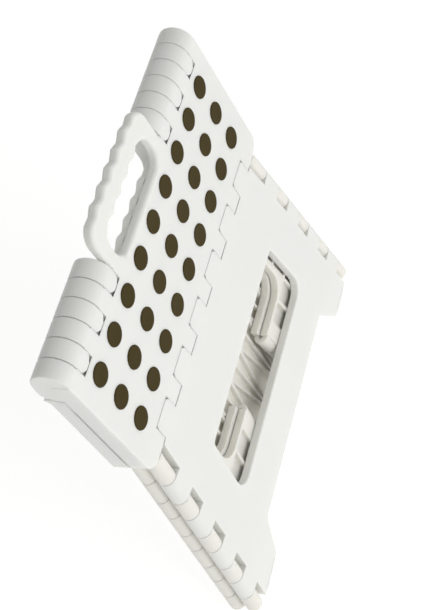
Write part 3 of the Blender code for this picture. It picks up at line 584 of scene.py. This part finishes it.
def strip(side, z, x0, x1):
    """One rubber strip behind the face, joining a row of dots."""
    deselect()
    middle = side * (FACE_Y - (STRIP_FRONT + STRIP_BACK) / 2)
    bpy.ops.mesh.primitive_cube_add(size=1, location=((x0 + x1) / 2, middle, z))
    obj = bpy.context.active_object
    obj.scale = (x1 - x0, STRIP_BACK - STRIP_FRONT, 2 * STRIP_HALF)
    settle(obj)
    modifier(obj, "BEVEL", width=STRIP_EDGE, segments=2, limit_method="ANGLE", use_clamp_overlap=True)
    return obj


def anti_slip_mat(node, name, body, side):
    """Rows of dots on strips; the rear half leaves out those in the handle's notch."""
    low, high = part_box(node)
    master = dot(side)
    pieces = []
    for row in range(DOT_ROWS):
        z = LEG_AXIS_Z + FIRST_ROW + row * ROW_PITCH
        columns = [i - (DOT_COLUMNS - 1) // 2 for i in range(DOT_COLUMNS)]
        if side > 0 and row == DOT_ROWS - 1:
            columns = [i for i in columns if abs(i) > 2]
        for i in columns:
            copy = bpy.data.objects.new("dot", master.data.copy())
            bpy.context.scene.collection.objects.link(copy)
            copy.location = (i * DOT_PITCH, 0, z)
            settle(copy)
            pieces.append(copy)
        inner = min(abs(i) for i in columns) * DOT_PITCH - DOT_RADIUS - STRIP_END
        spans = [(low.x, high.x)] if 0 in columns else [(low.x, -inner), (inner, high.x)]
        pieces += [strip(side, z, x0, x1) for x0, x1 in spans]
    bpy.data.objects.remove(master)
    mat = join(pieces, name)
    take(mat)
    bpy.ops.object.shade_smooth_by_angle(angle=RUBBER_SMOOTH)
    dress(mat, RUBBER, "olive_rubber", body, node)


anti_slip_mat("anti_slip_mat_front", "front_anti_slip_dots", "top_front", -1)
anti_slip_mat("anti_slip_mat_rear", "rear_anti_slip_dots", "top_rear", 1)

for node_name, part in NODES.items():
    if "_pin" in node_name:
        part.data.materials.clear()
        part.data.materials.append(ZINC)
    elif node_name.startswith("foot_pad"):
        part.data.materials.clear()
        part.data.materials.append(RUBBER)


# --------------------------------------------------------------- studio

def studio_floor():
    """A wide pale floor that glows a little, like a light table."""
    deselect()
    bpy.ops.mesh.primitive_plane_add(size=FLOOR_SIZE, location=(0, 0, 0))
    floor = bpy.context.active_object
    floor.name = "floor"
    material = bpy.data.materials.new("pale_floor")
    material.use_nodes = True
    shader = material.node_tree.nodes["Principled BSDF"]
    shader.inputs["Base Color"].default_value = (0.88, 0.88, 0.88, 1)
    shader.inputs["Roughness"].default_value = 0.9
    shader.inputs["Emission Color"].default_value = (1, 1, 1, 1)
    shader.inputs["Emission Strength"].default_value = FLOOR_GLOW
    floor.data.materials.append(material)


def soft_light(name, place, aim, size, power, colour=(1, 1, 1)):
    lamp = bpy.data.lights.new(name, "AREA")
    lamp.shape = "SQUARE"
    lamp.size = size
    lamp.energy = power
    lamp.color = colour
    obj = bpy.data.objects.new(name, lamp)
    bpy.context.scene.collection.objects.link(obj)
    obj.location = place
    obj.rotation_euler = (Vector(aim) - Vector(place)).to_track_quat("-Z", "Y").to_euler()


def studio_air(strength):
    world = bpy.data.worlds.new("studio_air")
    world.use_nodes = True
    nodes = world.node_tree.nodes
    background = nodes["Background"]
    background.inputs["Color"].default_value = (1, 1, 0.99, 1)
    background.inputs["Strength"].default_value = strength
    backdrop = nodes.new("ShaderNodeBackground")
    backdrop.inputs["Color"].default_value = (1, 1, 1, 1)
    backdrop.inputs["Strength"].default_value = 1.0
    mix = nodes.new("ShaderNodeMixShader")
    seen = nodes.new("ShaderNodeLightPath").outputs["Is Camera Ray"]
    link = world.node_tree.links.new
    link(seen, mix.inputs["Fac"])
    link(background.outputs["Background"], mix.inputs[1])
    link(backdrop.outputs["Background"], mix.inputs[2])
    link(mix.outputs["Shader"], nodes["World Output"].inputs["Surface"])
    bpy.context.scene.world = world


def camera():
    lens = bpy.data.cameras.new("camera")
    lens.lens = LENS
    lens.sensor_width = 36
    lens.clip_start = 0.01
    obj = bpy.data.objects.new("camera", lens)
    bpy.context.scene.collection.objects.link(obj)
    back = Vector((math.cos(VIEW_ELEVATION) * math.cos(VIEW_AZIMUTH),
                   math.cos(VIEW_ELEVATION) * math.sin(VIEW_AZIMUTH), math.sin(VIEW_ELEVATION)))
    right = Vector((0, 0, 1)).cross(back).normalized()
    turn = Matrix.Rotation(VIEW_ROLL, 3, back)
    right = turn @ right
    up = back.cross(right)
    basis = Matrix((right, up, back)).transposed().to_4x4()
    obj.matrix_world = Matrix.Translation(VIEW_TARGET + VIEW_DISTANCE * back) @ basis
    bpy.context.scene.camera = obj


bpy.context.scene.view_settings.view_transform = "Standard"
studio_floor()
studio_air(AIR_STRENGTH)
soft_light("key", (-0.6, -2.4, 1.1), LIT_POINT, 1.6, KEY_POWER)
soft_light("fill", (-2.0, -0.6, 1.2), LIT_POINT, 1.2, FILL_POWER)
camera()
